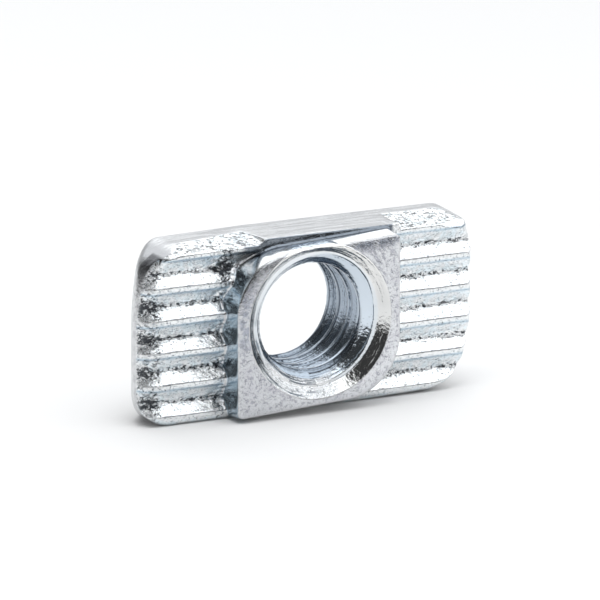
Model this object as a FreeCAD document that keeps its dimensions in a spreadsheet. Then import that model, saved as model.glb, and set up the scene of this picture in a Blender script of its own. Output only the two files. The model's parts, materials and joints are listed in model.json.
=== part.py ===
"""Hammer-head T slot nut: one pressed, tapped and zinc plated steel piece.

The nut stands on its long edge. X runs along its length, Z up its width, and the boss and the teeth face -Y.
The origin is the middle of the bottom edge, half way along the length and the thickness. Millimetres.
"""

import FreeCAD, Part

import math
import os

import Sketcher

NODE = "nut_body"

# Driving sizes
SIZES = {
    "nut_length": 16.5,
    "nut_width": 8.0,
    "plate_thick": 3.3,
    "boss_height": 1.2,
    # outline: both long edges fall away a little towards the swept corners
    "flat_reach": 2.0,
    "wing_drop": 0.12,
    "left_corner": 1.4,
    "right_corner": 0.6,
    "swept_corner": 1.15,
    # ends: the sloped back of the left end, and the rounded edges
    "end_slope_long": 1.8,
    "end_slope_deep": 1.9,
    "end_edge": 0.35,
    "back_edge": 0.5,
    # shallow bevels along the wings, beside the outer teeth
    "bevel_deep": 2.0,
    "bevel_drop": 0.27,
    "bevel_gap_left": 1.8,
    "bevel_gap_right": 4.6,
    # boss
    "boss_length": 8.1,
    "boss_rise": 3.82,
    "boss_skew": 0.44,
    "boss_draft": 0.16,
    "boss_end_draft": 0.05,
    "boss_round_corner": 2.6,
    "boss_square_corner": 0.32,
    "boss_edge": 0.22,
    "boss_embed": 0.3,
    # pressed teeth along both wings
    "tooth_pitch": 1.46,
    "tooth_depth": 0.4,
    "tooth_land": 0.16,
    "tooth_floor": 0.12,
    "tooth_lean": 0.05,
    "groove_count": 5,
    # tapped bore, lifted a little off the middle as on the real nut
    "bore_lift": 0.26,
    "minor_radius": 2.46,
    "mouth_radius": 3.52,
    "ledge_outer": 3.08,
    "ledge_inner": 2.9,
    "ledge_depth": 0.48,
    "lead_depth": 1.02,
    "back_chamfer": 0.2,
}

doc = FreeCAD.newDocument("t_slot_nut")
sheet = doc.addObject("Spreadsheet::Sheet", "Sizes")
for row, (alias, value) in enumerate(SIZES.items(), start=1):
    sheet.set(f"A{row}", alias)
    sheet.set(f"B{row}", str(value))
    sheet.setAlias(f"B{row}", alias)
doc.recompute()

body = doc.addObject("PartDesign::Body", "NutBody")
body.Label = NODE

# Places along the thickness, as formulas of the sheet
BACK = "(Sizes.plate_thick + Sizes.boss_height) / 2"
FACE = f"(-1) * {BACK}"
CREST = f"({FACE} + Sizes.boss_height)"
VALLEY = f"({CREST} + Sizes.tooth_depth)"
CENTRE = "Sizes.nut_width / 2"

# The same places as numbers, to find faces and edges by
back = (sheet.plate_thick + sheet.boss_height) / 2
face = -back
crest = face + sheet.boss_height
centre = sheet.nut_width / 2
end = sheet.nut_length / 2
NEAR = 1e-3

# Where the first rough corner of an outline lies on its ring, as a share of a turn: at the lower left
FIRST_CORNER = 0.625


def new_sketch(name, role, across="0", up="0", along="0"):
    """A sketch on one of the body's origin planes, moved in that plane's own directions."""
    plane = next(item for item in body.Origin.OriginFeatures if item.Role == role)
    sketch = body.newObject("Sketcher::SketchObject", name)
    sketch.AttachmentSupport = (plane, "")
    sketch.MapMode = "FlatFace"
    sketch.setExpression("AttachmentOffset.Base.x", across)
    sketch.setExpression("AttachmentOffset.Base.y", up)
    sketch.setExpression("AttachmentOffset.Base.z", along)
    return sketch


def hold(sketch, kind, target, formula, start_value):
    """Tie a coordinate of a run's start, or an arc's radius, to a formula."""
    places = (target,) if kind == "Radius" else (-1, 1, target, 1)
    number = sketch.addConstraint(Sketcher.Constraint(kind, *places, start_value))
    name = f"{kind}{target}"
    sketch.renameConstraint(number, name)
    sketch.setExpression(f"Constraints.{name}", formula)


def draw_outline(sketch, corners, arcs=(), rounds=None, rough=None):
    """A closed outline through corners given as formulas, counter-clockwise from the lower left.

    The runs listed in arcs turn about the sketch's origin; rounds gives the size that rounds a corner.
    The formulas move the corners from rough, which an outline with arcs gives close to where they end.
    """
    count = len(corners)
    places = [FreeCAD.Vector(*place, 0) for place in rough or rough_ring(count)]
    for n in range(count):
        start, stop = places[n], places[(n + 1) % count]
        if n in arcs:
            middle = (start + stop).normalize() * start.Length
            sketch.addGeometry(Part.ArcOfCircle(start, middle, stop))
        else:
            sketch.addGeometry(Part.LineSegment(start, stop))
    for n in range(count):
        sketch.addConstraint(Sketcher.Constraint("Coincident", n, 2, (n + 1) % count, 1))
    for n in arcs:
        sketch.addConstraint(Sketcher.Constraint("Coincident", n, 3, -1, 1))
    for n, (across, up) in enumerate(corners):
        if across is not None:
            hold(sketch, "DistanceX", n, across, places[n].x)
        hold(sketch, "DistanceY", n, up, places[n].y)
    doc.recompute()
    for n, size in (rounds or {}).items():
        radius = getattr(sheet, size)
        sketch.fillet(n, 1, radius, True, True)
        arc = sketch.GeometryCount - 2
        hold(sketch, "Radius", arc, f"Sizes.{size}", radius)


def rough_ring(count):
    """Rough places for an outline's corners, on a ring as long and as wide as the nut."""
    turns = [math.tau * (n / count + FIRST_CORNER) for n in range(count)]
    return [(end * math.cos(turn), centre * math.sin(turn)) for turn in turns]


def feature(kind, name, **settings):
    """A body feature with its plain settings; text that starts with = is bound as a formula."""
    made = body.newObject(kind, name)
    for key, setting in settings.items():
        if isinstance(setting, str) and setting.startswith("="):
            made.setExpression(key, setting[1:])
        else:
            setattr(made, key, setting)
    doc.recompute()
    return made


def round_edges(name, radius, choose):
    """Rounds the edges of the solid so far that choose picks by their middle point and their box."""
    base = body.Tip
    names = [f"Edge{n}" for n, edge in enumerate(base.Shape.Edges, start=1) if choose(edge)]
    return feature("PartDesign::Fillet", name, Base=(base, names), Radius=f"=Sizes.{radius}")


def runs_through(edge):
    """Whether an edge runs straight through the thickness."""
    return edge.BoundBox.XLength < NEAR and edge.BoundBox.ZLength < NEAR


def slope_rims():
    """The edges of the sloped end face."""
    rims = []
    for face in body.Tip.Shape.Faces:
        if face.Surface.TypeId != "Part::GeomPlane":
            continue
        normal = face.normalAt(0, 0)
        if abs(normal.x) > NEAR and abs(normal.y) > NEAR:
            rims += face.Edges
    return rims


def make_plate():
    """The head: a thick plate whose ends are swept to the turning radius at two opposite corners."""
    sketch = new_sketch("PlateOutline", "XZ_Plane", up=CENTRE, along=f"(-1) * {BACK}")
    left, right = "-Sizes.nut_length / 2", "Sizes.nut_length / 2"
    low, high = "-Sizes.nut_width / 2", "Sizes.nut_width / 2"
    corners = [
        (left, low),
        ("Sizes.flat_reach", low),
        (None, f"{low} + Sizes.wing_drop"),
        (right, "0"),
        (right, high),
        ("-Sizes.flat_reach", high),
        (None, f"{high} - Sizes.wing_drop"),
        (left, "0"),
    ]
    tip = math.sqrt(end**2 - (centre - sheet.wing_drop) ** 2)
    lower = [(-end, -centre), (sheet.flat_reach, -centre), (tip, sheet.wing_drop - centre), (end, 0)]
    upper = [(-across, -up) for across, up in lower]
    draw_outline(sketch, corners, arcs=(2, 6), rough=lower + upper)
    doc.recompute()
    feature("PartDesign::Pad", "Plate", Profile=sketch, Length="=Sizes.plate_thick")


def slope_end():
    """The left end slopes in towards the back, cut by a wedge that reaches past the solid by its own size."""
    sketch = new_sketch("EndSlope", "XY_Plane")
    outer = "(-1) * (Sizes.nut_length / 2 + Sizes.end_slope_long)"
    inner = "(-1) * (Sizes.nut_length / 2 - 2 * Sizes.end_slope_long)"
    beyond = f"{BACK} + Sizes.end_slope_deep"
    draw_outline(sketch, [(outer, f"{BACK} - 2 * Sizes.end_slope_deep"), (outer, beyond), (inner, beyond)])
    doc.recompute()
    feature("PartDesign::Pocket", "EndSlopeCut", Profile=sketch, Type="ThroughAll", Midplane=True)


def bevel_wings():
    """Shallow bevels along the top of both wings, above the first tooth."""
    edge, root = "Sizes.nut_width / 2", "(Sizes.nut_width / 2 - Sizes.bevel_drop)"
    for side, start in (("Left", "(-1) * Sizes.bevel_gap_left"), ("Right", "Sizes.bevel_gap_right")):
        sketch = new_sketch(f"{side}Bevel", "YZ_Plane", up=CENTRE, along=start)
        draw_outline(sketch, [(CREST, root), (f"{CREST} + Sizes.bevel_deep", edge), (CREST, edge)])
        outward = side == "Right"
        feature("PartDesign::Pocket", f"{side}BevelCut", Profile=sketch, Type="ThroughAll", Reversed=outward)


def press_teeth():
    """Grooves pressed along the whole plate; the boss fills them where it stands."""
    sketch = new_sketch("ToothGroove", "YZ_Plane", up=CENTRE)
    first = "(Sizes.groove_count - 1) * Sizes.tooth_pitch / 2"
    reach = "(Sizes.tooth_pitch - Sizes.tooth_land) / 2"
    low_floor = f"(-1) * {first} - Sizes.tooth_lean - Sizes.tooth_floor / 2"
    high_floor = f"(-1) * {first} - Sizes.tooth_lean + Sizes.tooth_floor / 2"
    corners = [
        (CREST, f"(-1) * {first} - {reach}"),
        (VALLEY, low_floor),
        (VALLEY, high_floor),
        (CREST, f"(-1) * {first} + {reach}"),
    ]
    draw_outline(sketch, corners)
    doc.recompute()
    groove = feature("PartDesign::Pocket", "Groove", Profile=sketch, Type="ThroughAll", Midplane=True)
    pattern = body.newObject("PartDesign::LinearPattern", "Grooves")
    pattern.Originals = [groove]
    pattern.Direction = (sketch, ["V_Axis"])
    pattern.setExpression("Length", "(Sizes.groove_count - 1) * Sizes.tooth_pitch")
    pattern.setExpression("Occurrences", "Sizes.groove_count")
    body.Tip = pattern
    doc.recompute()


def raise_boss():
    """The boss: two round and two square corners, sides that lean out a little towards the teeth."""
    sketches = []
    for name, depth, out, up in (
        ("BossRoot", f"({VALLEY} + Sizes.boss_embed)", "Sizes.boss_end_draft", "Sizes.boss_draft"),
        ("BossFace", FACE, "0", "0"),
    ):
        sketch = new_sketch(name, "XZ_Plane", up=CENTRE, along=f"(-1) * {depth}")
        side = f"(Sizes.boss_length / 2 + {out})"
        tall = f"(Sizes.boss_rise + {up})"
        short = f"({tall} - Sizes.boss_skew)"
        corners = [
            (f"(-1) * {side}", f"(-1) * {tall}"),
            (side, f"(-1) * {short}"),
            (side, tall),
            (f"(-1) * {side}", short),
        ]
        rounds = {n: ("boss_square_corner", "boss_round_corner")[n % 2] for n in range(4)}
        draw_outline(sketch, corners, rounds=rounds)
        sketches.append(sketch)
    doc.recompute()
    return feature("PartDesign::AdditiveLoft", "Boss", Profile=sketches[0], Sections=sketches[1:], Ruled=True)


def turn_bore():
    """The bore at the thread's crests, with a two-step countersunk mouth and a small chamfer at the back."""
    sketch = new_sketch("BoreProfile", "YZ_Plane", up=f"{CENTRE} + Sizes.bore_lift")
    corners = [
        (FACE, "0"),
        (BACK, "0"),
        (BACK, "Sizes.minor_radius + Sizes.back_chamfer"),
        (f"{BACK} - Sizes.back_chamfer", "Sizes.minor_radius"),
        (f"{FACE} + Sizes.lead_depth", "Sizes.minor_radius"),
        (f"{FACE} + Sizes.ledge_depth", "Sizes.ledge_inner"),
        (f"{FACE} + Sizes.ledge_depth", "Sizes.ledge_outer"),
        (FACE, "Sizes.mouth_radius"),
    ]
    draw_outline(sketch, corners)
    doc.recompute()
    feature("PartDesign::Groove", "Bore", Profile=sketch, ReferenceAxis=(sketch, ["H_Axis"]), Angle=360)


def round_plate_corners():
    """The four corners of the outline: two at the ends of the swept arcs, two plain ones."""
    def swept(edge):
        return runs_through(edge) and sheet.flat_reach + NEAR < abs(edge.CenterOfMass.x) < end - NEAR

    def plain(edge, side):
        spot = edge.CenterOfMass
        return runs_through(edge) and side * spot.x > end - NEAR and abs(spot.z - centre) > sheet.nut_width / 4

    round_edges("SweptCorners", "swept_corner", swept)
    round_edges("LeftCorner", "left_corner", lambda edge: plain(edge, -1))
    round_edges("RightCorner", "right_corner", lambda edge: plain(edge, 1))


def round_rims():
    """The pressed rim on the toothed side and the soft edge around the back."""
    round_edges("FrontRim", "end_edge", lambda edge: abs(edge.BoundBox.YMax - crest) < NEAR)
    slopes = slope_rims()

    def at_back(edge):
        return abs(edge.BoundBox.YMin - back) < NEAR or any(edge.isSame(rim) for rim in slopes)

    round_edges("BackRim", "back_edge", at_back)


def check_all():
    """Stops the build where any feature failed or the body is not one sound solid."""
    for item in doc.Objects:
        if "Invalid" in item.State or "Error" in item.State:
            raise RuntimeError(f"{item.Label} did not build: {item.State}")
        if item.isDerivedFrom("Part::Feature") and (item.Shape.isNull() or not item.Shape.isValid()):
            raise RuntimeError(f"{item.Label} has no sound shape")
    if len(body.Shape.Solids) != 1:
        raise RuntimeError("the nut is not one solid")


make_plate()
round_plate_corners()
slope_end()
round_rims()
bevel_wings()
press_teeth()
raise_boss()
round_edges("BossRim", "boss_edge", lambda edge: abs(edge.BoundBox.YMax - face) < NEAR)
turn_bore()
check_all()

os.makedirs("parts", exist_ok=True)
body.Shape.exportStep(f"parts/{NODE}.step")
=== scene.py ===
"""A zinc plated hammer-head T slot nut on a white table, seen from the front left and a little above.

The nut's own shape is worked out in millimetres in the frame's axes, as a distance field that is meshed
once.
"""
from functools import reduce
import json
import math
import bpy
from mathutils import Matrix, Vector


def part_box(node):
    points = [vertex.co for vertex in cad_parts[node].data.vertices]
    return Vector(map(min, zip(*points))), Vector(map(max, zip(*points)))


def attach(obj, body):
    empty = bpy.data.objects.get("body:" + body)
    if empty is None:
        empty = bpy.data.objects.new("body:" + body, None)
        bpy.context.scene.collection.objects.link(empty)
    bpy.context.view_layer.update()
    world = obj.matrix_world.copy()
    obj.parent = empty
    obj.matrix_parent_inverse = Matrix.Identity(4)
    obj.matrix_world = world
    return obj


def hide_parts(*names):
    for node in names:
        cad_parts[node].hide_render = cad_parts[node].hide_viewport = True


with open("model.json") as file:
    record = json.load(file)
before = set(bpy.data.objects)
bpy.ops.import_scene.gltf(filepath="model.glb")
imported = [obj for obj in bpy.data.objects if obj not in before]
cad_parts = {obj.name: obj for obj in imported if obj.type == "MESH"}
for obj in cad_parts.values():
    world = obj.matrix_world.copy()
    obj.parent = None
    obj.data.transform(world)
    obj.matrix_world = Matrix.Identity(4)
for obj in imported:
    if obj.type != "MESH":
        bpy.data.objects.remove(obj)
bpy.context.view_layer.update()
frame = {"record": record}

from types import SimpleNamespace

import bpy
import numpy as np
import openvdb
from mathutils import Matrix, Vector

MM = 0.001

# The nut's sizes, the same as in the solid
THREAD = next(mount for mount in frame["record"]["mounts"] if mount["name"] == "thread")
LOW, HIGH = (Vector(corner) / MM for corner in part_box("nut_body"))
LENGTH, THICK, WIDTH = HIGH - LOW
END, MIDDLE = LENGTH / 2, WIDTH / 2
FACE, BACK = LOW.y, HIGH.y
BOSS_HEIGHT = 1.2
CREST = FACE + BOSS_HEIGHT
FLAT_REACH, WING_DROP = 2.0, 0.12
LEFT_CORNER, RIGHT_CORNER, SWEPT_CORNER = 1.4, 0.6, 1.15
SLOPE_LONG, SLOPE_DEEP, BACK_RIM = 1.8, 1.9, 0.5
BEVEL_DEEP, BEVEL_DROP, BEVEL_GAP_LEFT, BEVEL_GAP_RIGHT = 2.0, 0.27, 1.8, 4.6
BOSS_HALF, BOSS_RISE, BOSS_SKEW = 4.05, 3.82, 0.44
BOSS_DRAFT, BOSS_END_DRAFT, BOSS_ROOT = 0.16, 0.05, 1.9
BOSS_ROUND, BOSS_SQUARE = 2.6, 0.32
PITCH, TOOTH_DEPTH, TOOTH_FLOOR, TOOTH_LEAN = 1.46, 0.4, 0.12, 0.05
GROOVES = 5
BORE_HEIGHT = THREAD["pos_m"][2] / MM
MINOR = THREAD["dims"]["r_mm"]
MOUTH, LEDGE_OUTER, LEDGE_INNER = 3.52, 3.08, 2.9
LEDGE_DEPTH, LEAD_DEPTH, BACK_CHAMFER = 0.48, 1.02, 0.2

# The thread, a plain bore in the solid: its root's radius, its pitch and where it starts, and how far from
# the middle of its root the root's and the crest's edges lie
MAJOR, THREAD_PITCH, THREAD_START = 3.0, 1.0, 0.35
ROOT_EDGE, CREST_EDGE = THREAD_PITCH / 16, THREAD_PITCH * 3 / 8

# The teeth's crests are broader than in the solid, and their edges are rounded by shares of their depth
TOOTH_LAND = 0.24
FLANKS_ROUND, FLOOR_ROUND, CREST_ROUND = 0.12, 0.10, 0.08

# The boss's rim is worn, broad on the face and narrow on the sides, and its foot is filled
RIM_BROAD, RIM_NARROW, BOSS_FOOT = 0.65, 0.2, 0.08

# The front rim is sharp above the boss, and broad at the left end and the upper right corner
FRONT_RIM, SHARP_RIM, LEFT_RIM, RIGHT_RIM = 0.3, 0.03, 0.8, 0.9
# Where a broad rim starts and is full along the nut, and where it changes up the nut
LEFT_RIM_ALONG, LEFT_RIM_UP = (6, 7), (1.5, 2.5)
RIGHT_RIM_ALONG, RIGHT_RIM_UP = (6.4, 7.4), (2.6, 3.4)
# The grooves run onto the broad left rim and stop so far behind the crests
GROOVE_STOP, GROOVE_FADE = 0.62, 0.2

# The bevels run out towards the boss, where their plane is lifted by so many drops, and their edge softens at
# the right end
BEVEL_FADE_LEFT, BEVEL_FADE_RIGHT, BEVEL_LIFT = 0.7, 0.1, 1.5
BEVEL_RIM, BEVEL_END_RIM, BEVEL_END_ALONG = 0.02, 0.3, (7.2, 8.0)

# How far the crests wander, the slopes swell and the torn metal stands up and down, and the share of a
# tooth's depth over which that fades out at the crest
CREST_WANDER, SLOPE_SWELL, TEAR_DEPTH, TEAR_FADE = 0.03, 0.02, 0.16, 0.3
# How wide the metal is torn along a valley, how much wider at the boss's foot and the left end, and where
# those lie
TORN_VALLEY, TORN_WIDER, TORN_FOOT, TORN_END_ALONG = 0.12, 0.16, 0.45, (6.9, 7.6)
# How torn a valley is on the whole, and how much that changes from patch to patch
TORN_EVEN, TORN_PATCHY = 0.7, 0.5
# How torn the boss's foot is, how much more so up the nut, how torn the right foot is against the left one,
# and how torn the left end is
TORN_FOOT_SHARE, TORN_FOOT_MORE, TORN_FOOT_UP = 0.45, 0.35, (0.5, 2.5)
TORN_RIGHT_SHARE, TORN_END_SHARE = 0.35, 0.4
# How far under each crest the painted line of shade lies, and how wide it is
BROW = 0.06

VOXEL = 0.045
BAND = 3 * VOXEL
MOST_TRIANGLES = 190_000
# A height over a steep slope is more than the distance to it; these bring it down
GROOVE_STEEP, THREAD_STEEP = 0.8, 0.6
# Each finer layer of a noise has this share of the last one's strength
FINER = 0.55


# Distance helpers

def rounded_both(a, b, radius):
    """Inside both shapes, with their common edge rounded."""
    corner = np.hypot(np.maximum(a + radius, 0), np.maximum(b + radius, 0))
    return np.minimum(np.maximum(a, b), -radius) + corner


def filleted_either(a, b, radius):
    """Inside either shape, with the inner edge between them filled."""
    corner = np.hypot(np.maximum(radius - a, 0), np.maximum(radius - b, 0))
    return np.maximum(np.minimum(a, b), radius) - corner


def beyond(across, up, start, stop):
    """How far a point lies to the right of the line from start to stop."""
    run, rise = stop[0] - start[0], stop[1] - start[1]
    return ((across - start[0]) * rise - (up - start[1]) * run) / math.hypot(run, rise)


def ramp(value, low, high):
    """From 0 at low to 1 at high, smoothly."""
    share = np.clip((value - low) / (high - low), 0, 1)
    return share * share * (3 - 2 * share)


def bell(value, width):
    """1 where the value is 0, and fading on both sides over the width."""
    return np.exp(-((value / width) ** 2))


def noise(places, seed, cells=64):
    """Smooth random values between -1 and 1, one grid cell wide; places are arrays of coordinates."""
    table = np.random.default_rng(seed).uniform(-1, 1, (cells,) * len(places)).astype(np.float32)
    lows = [np.floor(place).astype(np.int64) for place in places]
    shares = [ramp(place - low, 0, 1) for place, low in zip(places, lows)]
    total = 0
    for corner in np.ndindex(*(2,) * len(places)):
        weight = 1
        for step, share in zip(corner, shares):
            weight = weight * (share if step else 1 - share)
        total = total + weight * table[tuple((low + step) % cells for step, low in zip(corner, lows))]
    return total


def rough(places, size, seed, stretch=1.0, octaves=3):
    """Layered noise whose grains are size wide, and stretch times longer along the first coordinate."""
    total, weight = 0, 0
    for octave in range(octaves):
        grain = size / 2**octave
        share = FINER**octave
        spots = [places[0] / (grain * stretch)] + [place / grain for place in places[1:]]
        total = total + share * noise(spots, seed + octave)
        weight += share
    return total / weight


# The nut as a distance field: x along, y through, z up from the nut's middle

def end_distance(x, z):
    """How far a point lies beyond the ends, which turn about the middle at two opposite corners."""
    return np.where(x * z < 0, np.hypot(x, z), np.abs(x)) - END


def edge_distance(x, z):
    """How far a point lies beyond the long edges, which drop a little towards the swept corners."""
    reach = np.sqrt(END**2 - (MIDDLE - WING_DROP) ** 2)
    drop = WING_DROP * np.clip((np.abs(x) - FLAT_REACH) / (reach - FLAT_REACH), 0, 2)
    return np.abs(z) - MIDDLE + np.where(x * z < 0, drop, 0)


def outline(x, z):
    """The head seen from the front."""
    corner = np.where(x * z < 0, SWEPT_CORNER, np.where(x > 0, RIGHT_CORNER, LEFT_CORNER))
    return rounded_both(end_distance(x, z), edge_distance(x, z), corner)


def tooth_place(x, z):
    """Where a point lies across its groove: 0 at the middle, half a pitch at the crests."""
    place = z + CREST_WANDER * rough([x, z], size=0.9, seed=11, stretch=2)
    groove = np.clip(np.round(place / PITCH), -(GROOVES // 2), GROOVES // 2)
    return place - groove * PITCH


def torn_share(x, z):
    """How torn the pressed metal is: most along the valleys, at the left end and at the boss's foot."""
    from_valley = np.abs(tooth_place(x, z) + TOOTH_LEAN)
    foot = bell(np.abs(x) - BOSS_HALF, TORN_FOOT) * np.where(x < 0, 1, TORN_RIGHT_SHARE)
    ends = ramp(-x, *TORN_END_ALONG)
    patchy = TORN_EVEN + TORN_PATCHY * rough([x, z], size=0.8, seed=21)
    valley = bell(from_valley, TORN_VALLEY + TORN_WIDER * np.maximum(foot, ends))
    at_foot = (TORN_FOOT_SHARE + TORN_FOOT_MORE * ramp(z, *TORN_FOOT_UP)) * foot
    return np.clip(valley * patchy + at_foot + TORN_END_SHARE * ends, 0, 1)


def tooth_depth(x, z):
    """How deep the pressed grooves lie under the crests, with the wander and tears of the real ones."""
    place = tooth_place(x, z)
    reach, half_floor = (PITCH - TOOTH_LAND) / 2, TOOTH_FLOOR / 2
    lower = (place + reach) / (reach - TOOTH_LEAN - half_floor)
    upper = (reach - place) / (reach + TOOTH_LEAN - half_floor)
    share = -rounded_both(-lower, -upper, FLANKS_ROUND)
    share = -rounded_both(-share, -1, FLOOR_ROUND)
    share = rounded_both(share, 0, CREST_ROUND)
    swell = SLOPE_SWELL * rough([x, z], size=0.45, seed=31, stretch=2.5)
    tears = TEAR_DEPTH * torn_share(x, z) * rough([x, z], size=0.2, seed=41, stretch=1.4, octaves=2)
    return np.maximum(TOOTH_DEPTH * share + (swell + tears) * ramp(share, 0, TEAR_FADE), 0)


def bevel_gap(x):
    """1 between the two bevels, where the plate's top stays level, and 0 along them."""
    left = ramp(x, -BEVEL_GAP_LEFT - BEVEL_FADE_LEFT, -BEVEL_GAP_LEFT)
    return left * ramp(-x, -BEVEL_GAP_RIGHT, BEVEL_FADE_RIGHT - BEVEL_GAP_RIGHT)


def front_rim(x, z):
    """How broad the rim around the head's front is."""
    sharp = bevel_gap(x) * ramp(z, 0, 1)
    towards_end = ramp(end_distance(x, z) - edge_distance(x, z), 0, 0.5)
    left = towards_end * ramp(-x, *LEFT_RIM_ALONG) * (1 - 0.5 * ramp(z, *LEFT_RIM_UP))
    right = ramp(x, *RIGHT_RIM_ALONG) * ramp(z, *RIGHT_RIM_UP)
    rim = FRONT_RIM - (FRONT_RIM - SHARP_RIM) * sharp + (LEFT_RIM - FRONT_RIM) * left
    return rim + (RIGHT_RIM - FRONT_RIM) * right


def plate(x, y, z, wings):
    """The head with its rims, its sloped left end and its bevels; wings is how deep its grooves lie."""
    body = rounded_both(outline(x, z), CREST - y, front_rim(x, z))
    rim_grooves = body + wings * ramp(CREST + GROOVE_STOP - y, 0, GROOVE_FADE)
    front_grooves = (CREST + wings - y) * GROOVE_STEEP
    grooves = np.where(x < -LEFT_RIM_ALONG[0], rim_grooves, front_grooves)
    slope = beyond(-x, y, (END, BACK - SLOPE_DEEP), (END - SLOPE_LONG, BACK))
    body = rounded_both(body, rounded_both(y - BACK, slope, BACK_RIM), BACK_RIM)
    bevel = -beyond(y, z, (CREST, MIDDLE - BEVEL_DROP), (CREST + BEVEL_DEEP, MIDDLE))
    bevel = bevel - BEVEL_LIFT * BEVEL_DROP * bevel_gap(x)
    body = rounded_both(body, bevel, BEVEL_RIM + BEVEL_END_RIM * ramp(x, *BEVEL_END_ALONG))
    return np.maximum(body, grooves)


def boss(x, y, z):
    """The raised boss: two round and two square corners, and sides that lean out towards the teeth."""
    lean = (y - FACE) / BOSS_ROOT
    side = np.abs(x) - BOSS_HALF - BOSS_END_DRAFT * lean
    away = np.where(z > 0, x, -x)
    rise = BOSS_RISE - BOSS_SKEW * (BOSS_HALF - away) / (2 * BOSS_HALF)
    top = np.abs(z) - rise - BOSS_DRAFT * lean
    corner = np.where(x * z > 0, BOSS_SQUARE, BOSS_ROUND)
    walls = rounded_both(side, top, corner)
    body = rounded_both(walls / RIM_BROAD, (FACE - y) / RIM_NARROW, 1) * RIM_NARROW
    return np.maximum(body, y - FACE - BOSS_ROOT)


def hole(x, y, z):
    """The countersunk mouth, the lead-in, the right-hand thread and the chamfer at the back."""
    lift = z - (BORE_HEIGHT - MIDDLE)
    radius = np.hypot(x, lift)
    depth = y - FACE
    turn = np.arctan2(x, lift) / math.tau
    mouth = beyond(radius, depth, (MOUTH, 0), (LEDGE_OUTER, LEDGE_DEPTH))
    mouth = np.maximum(mouth, depth - LEDGE_DEPTH)
    lead = beyond(radius, depth, (LEDGE_INNER, LEDGE_DEPTH), (MINOR, LEAD_DEPTH))
    chamfer = beyond(radius, depth, (MINOR, THICK - BACK_CHAMFER), (MINOR + BACK_CHAMFER, THICK))
    phase = (y / THREAD_PITCH - turn + THREAD_START) % 1
    from_root = np.abs(phase - 0.5) * THREAD_PITCH
    flank = (MAJOR - MINOR) / (CREST_EDGE - ROOT_EDGE)
    wall = MAJOR - np.maximum(from_root - ROOT_EDGE, 0) * flank
    thread = (radius - np.maximum(wall, MINOR)) * THREAD_STEEP
    return np.minimum(np.minimum(mouth, lead), np.minimum(chamfer, thread))


def nut_field():
    """The distance field on a grid, and the grid's first corner."""
    start = np.array(LOW) - BAND
    counts = np.ceil((np.array(HIGH) + BAND - start) / VOXEL).astype(int) + 1
    x, y, z = (start[axis] + VOXEL * np.arange(counts[axis]) for axis in range(3))
    z = z - MIDDLE
    flat_x, flat_z = np.meshgrid(x, z, indexing="ij")
    wings = tooth_depth(flat_x, flat_z)[:, None, :]
    x, y, z = x[:, None, None], y[None, :, None], z[None, None, :]
    body = filleted_either(plate(x, y, z, wings), boss(x, y, z), BOSS_FOOT)
    return np.maximum(body, -hole(x, y, z)).astype(np.float32), start


def nut_mesh():
    """The field's surface as a mesh in metres."""
    field, start = nut_field()
    grid = openvdb.FloatGrid(background=1.0)
    grid.copyFromArray(np.clip(field, -BAND, BAND))
    points, quads = grid.convertToQuads(0.0)
    mesh = bpy.data.meshes.new("nut")
    mesh.from_pydata(((points * VOXEL + start) * MM).tolist(), [], quads.tolist())
    mesh.update()
    return mesh


def thin_out(obj, most):
    """Decimates a mesh object in place to about so many triangles."""
    triangles = sum(len(face.vertices) - 2 for face in obj.data.polygons)
    if triangles <= most:
        return
    change = obj.modifiers.new("thin", "DECIMATE")
    change.ratio = most / triangles
    change.use_collapse_triangulate = True
    result = bpy.data.meshes.new_from_object(obj.evaluated_get(bpy.context.evaluated_depsgraph_get()))
    obj.modifiers.clear()
    obj.data = result


def keep_in_box(mesh):
    """Moves the few points that the thinning pushed out of the nut's box back onto its sides."""
    places = np.empty(len(mesh.vertices) * 3, np.float32)
    mesh.vertices.foreach_get("co", places)
    mesh.vertices.foreach_set("co", np.clip(places.reshape(-1, 3), LOW * MM, HIGH * MM).ravel())
    mesh.update()


def set_zones(mesh):
    """Marks the mesh's zones for the material, as shares from 0 to 1.

    The wing is the toothed front, down are its slopes that face down, the crest shade is a painted line of
    shade under each crest, torn is its torn metal, the bevel lies above the teeth and the wall is the boss's
    sides.
    """
    count = len(mesh.vertices)
    places = np.empty(count * 3, np.float32)
    normals = np.empty(count * 3, np.float32)
    mesh.vertices.foreach_get("co", places)
    mesh.vertex_normals.foreach_get("vector", normals)
    x, y, z = places.reshape(-1, 3).T / MM
    z = z - MIDDLE
    to_back, to_top = normals.reshape(-1, 3).T[1:]
    from_boss = boss(x, y, z)

    facing_front = ramp(-to_back, 0.15, 0.4)
    near_teeth = ramp(CREST + TOOTH_DEPTH + 0.25 - y, 0, 0.1)
    wing = facing_front * near_teeth * ramp(from_boss, 0.02, 0.08)

    on_boss = ramp(0.06 - from_boss, 0, 0.04)
    behind_face = ramp(y - FACE, 0.05, 0.15)
    wall = on_boss * behind_face * ramp(0.7 + to_back, 0, 0.3)

    down = wing * ramp(-to_top, 0.1, 0.3)
    brow = wing * bell(tooth_place(x, z) - (PITCH - TOOTH_LAND) / 2 + BROW, BROW)

    leaning_front = ramp(-to_back, 0.05, 0.11)
    at_top = ramp(z, MIDDLE - 0.42, MIDDLE - 0.34)
    behind_crest = ramp(y - CREST, -0.05, 0.05)
    bevel = leaning_front * at_top * behind_crest * (1 - wing)

    zones = {"wing": wing, "wall": wall, "down": down, "brow": brow, "bevel": bevel}
    zones["torn"] = torn_share(x, z) * wing
    for name, values in zones.items():
        attribute = mesh.attributes.new(name, "FLOAT", "POINT")
        attribute.data.foreach_set("value", values.astype(np.float32))


# Materials

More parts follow.
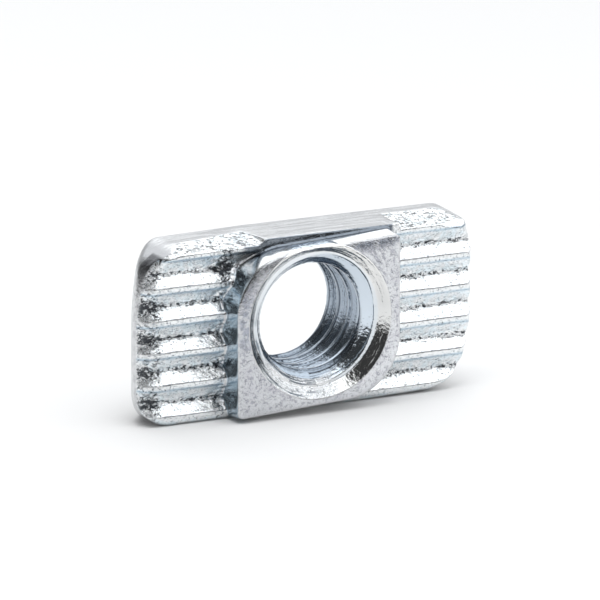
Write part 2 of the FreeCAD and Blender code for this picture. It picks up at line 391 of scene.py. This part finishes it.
class Shading:
    """Short names for the shader nodes used here; a value may be a number, a colour or a node's output."""

    def __init__(self, tree):
        self.tree = tree
        tree.nodes.clear()

    def give(self, socket, value):
        """Links an output to the socket, or sets the socket itself."""
        if isinstance(value, bpy.types.NodeSocket):
            self.tree.links.new(value, socket)
        else:
            socket.default_value = value

    def node(self, kind, inputs=None, **settings):
        node = self.tree.nodes.new("ShaderNode" + kind)
        for key, value in settings.items():
            setattr(node, key, value)
        for key, value in (inputs or {}).items():
            self.give(node.inputs[key], value)
        return node

    def math(self, operation, *values):
        return self.node("Math", dict(enumerate(values)), operation=operation).outputs[0]

    def chain(self, operation, values):
        """One result of any number of values, taken in one after the other."""
        return reduce(lambda result, value: self.math(operation, result, value), values)

    def product(self, *values):
        return self.chain("MULTIPLY", values)

    def total(self, *values):
        return self.chain("ADD", values)

    def most(self, *values):
        return self.chain("MAXIMUM", values)

    def rest(self, share):
        return self.math("SUBTRACT", 1.0, share)

    def smooth(self, value, low, high):
        """From 0 at low to 1 at high; low may be the larger one."""
        inputs = {"Value": value, "From Min": low, "From Max": high}
        return self.node("MapRange", inputs, interpolation_type="SMOOTHSTEP").outputs["Result"]

    def mix(self, share, a, b):
        """The colour a where the share is 0, and b where it is 1."""
        node = self.node("Mix", {0: share}, data_type="RGBA")
        for key, colour in ((6, a), (7, b)):
            self.give(node.inputs[key], (*colour, 1) if isinstance(colour, tuple) else colour)
        return node.outputs[2]

    def vector(self, x, y, z):
        return self.node("CombineXYZ", {0: x, 1: y, 2: z}).outputs[0]

    def noise(self, place, scale, detail, rough):
        inputs = {"Vector": place, "Scale": scale, "Detail": detail, "Roughness": rough}
        return self.node("TexNoise", inputs).outputs[0]

    def attribute(self, name):
        return self.node("Attribute", attribute_name=name).outputs["Fac"]


def new_material(name):
    material = bpy.data.materials.new(name)
    material.use_nodes = True
    return material, Shading(material.node_tree)


# The zinc's noises: how many grains lie in a millimetre, how many finer layers there are, and how strong
NOISES = {
    "grain": (9.0, 5.0, 0.65),
    "satin": (8.0, 1.0, 0.6),
    "cloud": (0.9, 3.0, 0.55),
    "speck": (6.5, 4.0, 0.7),
    "mottle": (2.6, 4.0, 0.6),
    "lines": (3.0, 3.0, 0.75),
    "rings": (7.0, 1.0, 0.6),
    "flakes": (7.5, 4.0, 0.75),
    "turns": (5.0, 2.0, 0.7),
    "scratches": (5.0, 3.0, 0.7),
    "crumbs": (14.0, 3.0, 0.7),
}

# The zinc's colours, among them painted shades, reflections and light
TONES = {
    "plain": (0.64, 0.65, 0.66),
    "plain_dull": (0.36, 0.37, 0.38),
    "plain_lines": (0.38, 0.38, 0.40),
    "worn_corner": (0.05, 0.052, 0.06),
    "face": (0.75, 0.765, 0.79),
    "face_left": (0.47, 0.48, 0.51),
    "face_clouds": (0.56, 0.555, 0.61),
    "face_specks": (0.25, 0.25, 0.31),
    "face_shade": (0.30, 0.33, 0.40),
    "wing": (0.90, 0.91, 0.915),
    "wing_down": (0.84, 0.92, 0.96),
    "wing_crumbs": (0.52, 0.59, 0.64),
    "brow": (0.38, 0.50, 0.60),
    "bevel": (0.62, 0.67, 0.70),
    "wall": (0.72, 0.73, 0.74),
    "wall_left": (0.44, 0.53, 0.60),
    "boss_root": (0.14, 0.17, 0.21),
    "turned": (0.72, 0.725, 0.72),
    "turned_top": (0.95, 0.945, 0.93),
    "turned_lead": (0.64, 0.71, 0.78),
    "turned_scuffs": (0.14, 0.18, 0.22),
    "torn_lead": (0.95, 0.96, 0.97),
    "torn_flakes": (0.10, 0.13, 0.16),
    "thread": (0.40, 0.46, 0.53),
    "thread_lines": (0.16, 0.19, 0.23),
    "pits": (0.02, 0.025, 0.035),
}


def zinc_places(s):
    """Where a point lies from the frame's origin, about the bore and behind the face, in mm and radians."""
    metres = s.node("TexCoord").outputs["Object"]
    place = s.node("VectorMath", {0: metres, "Scale": 1 / MM}, operation="SCALE").outputs[0]
    x, y, z = s.node("SeparateXYZ", {0: place}).outputs
    lift = s.math("SUBTRACT", z, BORE_HEIGHT)
    radius = s.math("SQRT", s.total(s.product(x, x), s.product(lift, lift)))
    depth = s.math("SUBTRACT", y, FACE)
    turn = s.math("ARCTAN2", x, lift)
    return SimpleNamespace(place=place, x=x, y=y, z=z, lift=lift, radius=radius, depth=depth, turn=turn)


def zinc_zones(s, at):
    """The nut's zones as shares from 0 to 1: those that the mesh marks, and those that a place tells."""
    zone = SimpleNamespace()
    for name in ("wing", "wall", "down", "brow", "bevel", "torn"):
        setattr(zone, name, s.attribute(name))

    bore = s.smooth(at.radius, MOUTH + 0.05, MOUTH - 0.03)
    deep = s.smooth(at.depth, LEAD_DEPTH - 0.06, LEAD_DEPTH + 0.06)
    in_thread = s.smooth(at.radius, MAJOR + 0.08, MAJOR + 0.02)
    zone.thread = s.product(in_thread, deep, s.smooth(at.depth, THICK - 0.02, THICK - 0.1))
    zone.turned = s.product(bore, s.rest(deep))
    zone.face = s.product(s.rest(bore), s.smooth(at.depth, 0.14, 0.05))
    zone.plain = s.rest(s.most(zone.turned, zone.thread, zone.face, zone.wing, zone.wall, zone.bevel))

    # The upper left end is dull and its corner worn, and the boss's top wall has a painted shade at its foot
    zone.dull_end = s.product(s.smooth(at.x, -6.2, -6.8), s.smooth(at.z, 6.6, 7.2))
    zone.corner = s.product(s.smooth(at.x, -6.9, -7.1), s.smooth(at.z, 6.95, 7.2), zone.plain)
    before_plate = s.smooth(at.depth, BOSS_HEIGHT + 0.08, BOSS_HEIGHT + 0.03)
    root = s.product(s.smooth(at.depth, 0.88, 0.98), before_plate)
    along_boss = s.product(s.smooth(at.x, 4.3, 4.1), s.smooth(at.x, -3.4, -3.0))
    zone.boss_root = s.product(root, s.smooth(at.z, 6.9, 7.1), along_boss)

    # The lead-in is torn at its lower left and scuffed on its left
    torn_lead = s.product(s.smooth(at.lift, -1.2, -2.4), s.smooth(at.x, 1.4, 0.2))
    zone.torn_lead = s.product(zone.turned, torn_lead)
    zone.scuffed = s.product(zone.turned, s.smooth(at.x, 0.6, -0.8), s.smooth(at.lift, 1.4, -0.4))

    # The face is scored at its upper right and darker towards its left; under its top edge, which slants, and
    # along its left rim it has a painted shade
    zone.upper_right = s.product(s.smooth(at.x, 0.5, 3.0), s.smooth(at.z, 5.2, 6.8))
    top_rise = 0.054
    from_top = s.math("SUBTRACT", at.z, s.product(at.x, top_rise))
    under_top = s.product(s.smooth(from_top, 7.0, 7.3), s.smooth(at.x, 0.6, 2.0))
    left_rim = s.product(s.smooth(at.x, -2.9, -3.8), s.smooth(at.z, 2.6, 4.2))
    zone.shaded = s.product(zone.face, s.most(under_top, left_rim))
    return zone


def zinc_marks(s, at, zone):
    """The noises, from 0 to 1 and some of them stretched, and the pits and specks that they draw."""
    spots = dict.fromkeys(NOISES, at.place)
    spots["lines"] = s.vector(s.product(at.x, 0.12), at.y, at.z)
    spots["rings"] = s.vector(at.radius, s.product(at.turn, 0.25), at.depth)
    spots["flakes"] = s.vector(s.product(at.x, 0.7), at.y, at.z)
    along_thread = s.math("SUBTRACT", at.depth, s.product(at.turn, 1 / math.tau))
    spots["turns"] = s.vector(along_thread, at.radius, 0.0)
    across_slant = s.total(at.x, s.product(at.z, 0.8))
    along_slant = s.product(s.math("SUBTRACT", at.z, at.x), 0.25)
    spots["scratches"] = s.vector(across_slant, along_slant, at.y)
    mark = SimpleNamespace()
    for name, noise_sizes in NOISES.items():
        setattr(mark, name, s.noise(spots[name], *noise_sizes))

    torn_flakes = s.total(mark.flakes, s.product(zone.torn, 0.2))
    pits = s.product(s.smooth(torn_flakes, 0.64, 0.70), zone.wing)
    crumbled = s.smooth(mark.crumbs, 0.44, 0.52)
    bevel_pits = s.product(s.smooth(mark.scratches, 0.51, 0.57), crumbled, zone.bevel)
    small_places = s.most(s.product(zone.wing, 0.8), s.product(zone.face, 0.45))
    small_pits = s.product(s.smooth(mark.crumbs, 0.60, 0.68), small_places)
    mark.pits = s.most(pits, s.product(small_pits, 0.7), bevel_pits)

    scored = s.product(s.smooth(mark.scratches, 0.52, 0.6), zone.upper_right, zone.face)
    mark.specks = s.most(s.product(s.smooth(mark.speck, 0.53, 0.62), zone.face), scored)
    return mark


def zinc_tone(s, at, zone, mark):
    """The colour: each layer covers those before it by its strength, where all its shares are 1."""
    near_front = s.smooth(at.depth, BOSS_HEIGHT + 1.5, BOSS_HEIGHT + 1.3)
    lead = s.smooth(at.depth, LEDGE_DEPTH - 0.05, LEDGE_DEPTH + 0.05)
    layers = [
        ("plain_dull", 1.0, zone.dull_end),
        ("plain_lines", 0.55, zone.plain, s.smooth(mark.lines, 0.45, 0.57)),
        ("worn_corner", 0.9, zone.corner, s.smooth(mark.crumbs, 0.72, 0.58), near_front),
        ("face", 1.0, zone.face),
        ("face_left", 0.4, zone.face, s.smooth(at.x, -1.0, -3.2)),
        ("wing", 1.0, s.most(zone.wing, zone.bevel)),
        # a painted bluish reflection of the shaded table on the slopes that face down, mottled
        ("wing_down", 1.0, zone.down, s.smooth(mark.mottle, 0.42, 0.6)),
        ("bevel", 1.0, zone.bevel, s.smooth(mark.mottle, 0.40, 0.6)),
        ("wing_crumbs", 0.5, zone.wing, s.smooth(mark.crumbs, 0.46, 0.62)),
        ("wall", 1.0, zone.wall),
        # a painted shade in the crease at the foot of the boss's top wall
        ("boss_root", 0.85, zone.boss_root),
        # a painted dark blue reflection on the boss's left wall
        ("wall_left", 1.0, zone.wall, s.smooth(at.x, -3.0, -3.8)),
        # a painted bluish line of shade under each crest
        ("brow", 0.8, zone.brow),
        ("turned", 1.0, zone.turned),
        # painted light: the mouth is painted brighter towards its top
        ("turned_top", 1.0, zone.turned, s.smooth(at.lift, 0.2, 2.4)),
        ("turned_lead", 1.0, zone.turned, lead),
        ("torn_lead", 1.0, zone.torn_lead),
        # a painted shade: the thread deep in the bore is painted darker and bluer
        ("thread", 1.0, zone.thread),
        ("thread_lines", 0.8, zone.thread, s.smooth(mark.turns, 0.5, 0.62)),
        ("face_clouds", 0.5, zone.face, s.smooth(mark.cloud, 0.45, 0.7)),
        ("face_specks", 0.55, mark.specks),
        ("turned_scuffs", 0.8, zone.scuffed, s.smooth(mark.rings, 0.53, 0.60)),
        ("torn_flakes", 0.8, zone.torn_lead, s.smooth(mark.flakes, 0.56, 0.62)),
        # a painted shade on the face's rim, under its top edge and along its left side, mottled
        ("face_shade", 0.7, zone.shaded, s.smooth(mark.mottle, 0.36, 0.56)),
        # the pits are real dents, painted near black as the shade in them
        ("pits", 0.93, mark.pits),
    ]
    tone = TONES["plain"]
    for name, strength, *shares in layers:
        tone = s.mix(s.product(*shares, strength), tone, TONES[name])
    return tone


def zinc_roughness(s, zone, mark):
    """Bright all over, with duller clouds, and brightest where it was turned."""
    everywhere = 0.22
    return s.total(
        everywhere,
        s.product(s.math("SUBTRACT", mark.cloud, 0.5), 0.15),
        s.product(zone.face, 0.02),
        s.product(s.most(zone.wing, zone.wall, zone.bevel), -0.08),
        s.product(zone.thread, 0.02),
        s.product(zone.turned, -0.13),
    )


def zinc_relief(s, zone, mark):
    """The fine relief's height in mm: what each mark adds in its zone."""
    return s.total(
        s.product(mark.grain, zone.face, 0.018),
        s.product(mark.grain, zone.wing, 0.005),
        s.product(mark.flakes, zone.wing, 0.012),
        s.product(mark.grain, zone.down, 0.006),
        s.product(mark.flakes, zone.torn, 0.05),
        s.product(mark.crumbs, zone.torn, 0.03),
        s.product(mark.lines, zone.plain, 0.025),
        s.product(mark.satin, zone.plain, 0.008),
        s.product(mark.rings, zone.turned, 0.02),
        s.product(mark.satin, zone.turned, 0.01),
        s.product(mark.mottle, zone.turned, 0.03),
        s.product(mark.flakes, zone.torn_lead, 0.07),
        s.product(mark.grain, zone.turned, 0.004),
        s.product(mark.turns, zone.thread, 0.05),
        s.product(mark.satin, zone.thread, 0.012),
        s.product(mark.pits, -0.03),
        s.product(mark.specks, -0.006),
    )


def zinc_material():
    """Bright zinc over pressed and turned steel: each zone has its tone, polish and marks."""
    material, s = new_material("zinc_plated_steel")
    at = zinc_places(s)
    zone = zinc_zones(s, at)
    mark = zinc_marks(s, at, zone)
    bump = s.node("Bump", {"Height": zinc_relief(s, zone, mark), "Distance": MM, "Strength": 1.0})
    inputs = {
        "Base Color": zinc_tone(s, at, zone, mark),
        "Metallic": 1.0,
        "Roughness": zinc_roughness(s, zone, mark),
        "Normal": bump.outputs[0],
    }
    shader = s.node("BsdfPrincipled", inputs)
    s.node("OutputMaterial", {"Surface": shader.outputs[0]})
    return material


TABLE_TONE, TABLE_GLOW, TABLE_HALF = 0.7, 0.03, 0.6


def table_material():
    """A white table. Seen directly or in the metal it glows a little, so that only the shadow is grey."""
    material, s = new_material("white_table")
    diffuse = s.node("BsdfDiffuse", {"Color": (TABLE_TONE, TABLE_TONE, TABLE_TONE, 1)})
    path = s.node("LightPath")
    seen = s.most(path.outputs["Is Camera Ray"], path.outputs["Is Glossy Ray"])
    glow = s.node("Emission", {"Strength": s.product(seen, TABLE_GLOW)})
    both = s.node("AddShader", {0: diffuse.outputs[0], 1: glow.outputs[0]})
    s.node("OutputMaterial", {"Surface": both.outputs[0]})
    return material


# The studio

# How bright the panels overhead and on the right are, the backdrop low and how much more so high up, the left
# side and the rest of the room
PANEL_LIGHT, BEHIND_LIGHT, BEHIND_MORE, LEFT_LIGHT, ROOM_LIGHT = 1.65, 0.78, 0.87, 0.55, 0.05
STUDIO_TINT, WHITE = (0.97, 0.985, 1, 1), (1, 1, 1, 1)
LAMP_PLACE, LAMP_SIZE, LAMP_POWER = Vector((-0.05, -0.03, 0.25)), 0.16, 0.36
# The photo's view, from a fit to the bore and the edges
VIEW_AZIMUTH, VIEW_ELEVATION, VIEW_DISTANCE = math.radians(-26.8), math.radians(14.18), 0.3154
VIEW_AIM = Vector((-0.000718, -0.001622, 0.005198))
LENS_LENGTH, SENSOR_WIDTH, NEAREST = 427.3, 36, 0.01


def studio_world():
    """A studio that the metal mirrors: bright overhead, behind and on the right. The camera sees white."""
    world = bpy.data.worlds.new("studio")
    bpy.context.scene.world = world
    world.use_nodes = True
    s = Shading(world.node_tree)
    x, y, z = s.node("SeparateXYZ", {0: s.node("TexCoord").outputs["Generated"]}).outputs
    overhead = s.product(s.smooth(z, 0.45, 0.55), s.smooth(x, -0.21, -0.13), PANEL_LIGHT)
    backdrop = s.total(BEHIND_LIGHT, s.product(s.smooth(z, 0.3, 0.37), BEHIND_MORE))
    behind = s.product(s.smooth(y, 0.1, 0.5), s.smooth(x, -0.3, -0.15), backdrop)
    right_side = s.product(s.smooth(x, 0.5, 0.7), s.smooth(z, 0.1, 0.25), PANEL_LIGHT)
    left_side = s.product(s.smooth(x, -0.5, -0.7), s.smooth(y, -0.28, -0.12), LEFT_LIGHT)
    strength = s.total(s.most(overhead, behind, right_side, left_side), ROOM_LIGHT)
    studio = s.node("Background", {"Color": STUDIO_TINT, "Strength": strength})
    white = s.node("Background", {"Color": WHITE})
    shown = s.node("LightPath").outputs["Is Camera Ray"]
    mix = s.node("MixShader", {0: shown, 1: studio.outputs[0], 2: white.outputs[0]})
    s.node("OutputWorld", {"Surface": mix.outputs[0]})


def add_object(name, data):
    added = bpy.data.objects.new(name, data)
    bpy.context.scene.collection.objects.link(added)
    return added


def add_lamp():
    """A large soft lamp above, aimed at the nut, that the metal doesn't mirror."""
    lamp = bpy.data.lights.new("overhead", "AREA")
    lamp.size = LAMP_SIZE
    lamp.energy = LAMP_POWER
    lamp_object = add_object("overhead", lamp)
    lamp_object.location = LAMP_PLACE
    lamp_object.rotation_euler = LAMP_PLACE.to_track_quat("Z", "Y").to_euler()
    lamp_object.visible_glossy = False


def add_camera():
    """A far camera with a long lens, as in the photo."""
    aside, ahead = math.sin(VIEW_AZIMUTH), math.cos(VIEW_AZIMUTH)
    level = math.cos(VIEW_ELEVATION)
    towards = Vector((aside * level, -ahead * level, math.sin(VIEW_ELEVATION)))
    right = Vector((ahead, aside, 0))
    up = towards.cross(right)
    camera = bpy.data.cameras.new("camera")
    camera.lens = LENS_LENGTH
    camera.sensor_width = SENSOR_WIDTH
    camera.clip_start = NEAREST
    camera_object = add_object("camera", camera)
    turn = Matrix((right, up, towards)).transposed().to_4x4()
    camera_object.matrix_world = Matrix.Translation(VIEW_AIM + towards * VIEW_DISTANCE) @ turn
    bpy.context.scene.camera = camera_object


def add_table():
    half = TABLE_HALF
    mesh = bpy.data.meshes.new("table")
    corners = [(-half, -half, 0), (half, -half, 0), (half, half, 0), (-half, half, 0)]
    mesh.from_pydata(corners, [], [(0, 1, 2, 3)])
    mesh.materials.append(table_material())
    floor = add_object("table", mesh)


nut = add_object("nut", nut_mesh())
thin_out(nut, MOST_TRIANGLES)
keep_in_box(nut.data)
nut.data.shade_smooth()
set_zones(nut.data)
nut.data.materials.append(zinc_material())
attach(nut, "root")
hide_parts("nut_body")

studio_world()
add_table()
add_lamp()
add_camera()
bpy.context.scene.view_settings.view_transform = "Standard"
